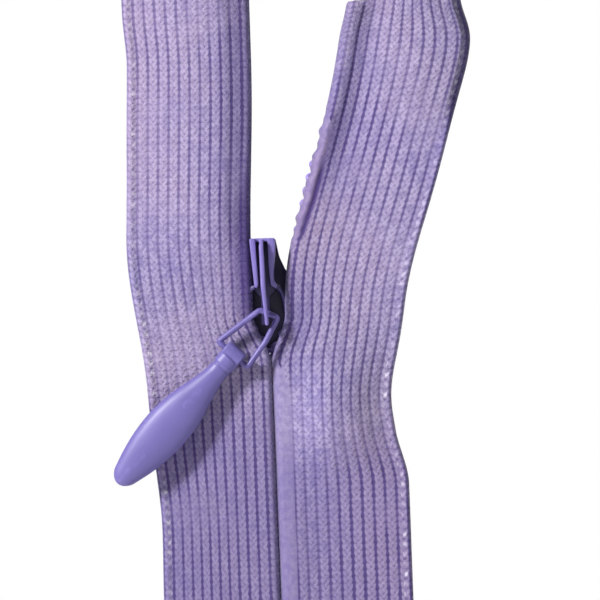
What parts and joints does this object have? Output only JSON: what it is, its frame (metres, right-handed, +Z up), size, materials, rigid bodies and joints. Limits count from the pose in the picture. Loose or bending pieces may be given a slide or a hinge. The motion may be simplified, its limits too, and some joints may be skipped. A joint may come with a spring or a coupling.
{
  "type": "concealed zipper",
  "caption": "Concealed nylon-coil zipper: two knitted tapes folded at the seam, coils behind them, a slider with a wire link and a teardrop pull.",
  "frame": {"origin": "middle of the closed seam on the front face of the tapes, level with the top of the bottom stop", "axes": "+X to the right seen from the front, +Y through the tapes to the coil side, +Z up the chain to the top stops"},
  "size_m": [0.0361, 0.0062, 0.1298],
  "materials": {
    "tape_fabric": "lavender warp-knit polyester tape",
    "coil_nylon": "dyed nylon monofilament",
    "thread": "polyester sewing thread and filler cord",
    "stop_resin": "moulded resin stop, dyed to match",
    "painted_casting": "die-cast zinc, blue-violet semi-gloss paint",
    "painted_wire": "formed wire, blue-violet semi-gloss paint",
    "pull_enamel": "teardrop pull, smooth blue-violet enamel"
  },
  "bodies": {
    "root": {"left_tape": "tape_fabric", "right_tape": "tape_fabric", "left_coil": "coil_nylon", "right_coil": "coil_nylon", "left_filler_cord": "thread", "right_filler_cord": "thread", "left_stitching": "thread", "right_stitching": "thread", "left_top_stop": "stop_resin", "right_top_stop": "stop_resin", "bottom_stop": "stop_resin"},
    "slider": {"slider_body": "painted_casting"},
    "ring": {"pull_ring": "painted_wire"},
    "pull": {"pull_tab": "pull_enamel"}
  },
  "joints": [
    {"name": "slider_slide", "type": "slide", "parent": "root", "child": "slider", "axis": [0, 0, 1], "range_m": [-0.08, 0.0085], "deforming": ["left_tape", "right_tape", "left_coil", "right_coil", "left_filler_cord", "right_filler_cord", "left_stitching", "right_stitching"]},
    {"name": "ring_flip", "type": "hinge", "parent": "slider", "child": "ring", "pos_m": [-0.00015, -0.00115, 0.08382], "axis": [-0.7193, 0, 0.6947], "range_deg": [0, 90]},
    {"name": "pull_swing", "type": "hinge", "parent": "ring", "child": "pull", "pos_m": [-0.00369, -0.00115, 0.08016], "axis": [-0.7193, 0, 0.6947], "range_deg": [0, 90]}
  ]
}
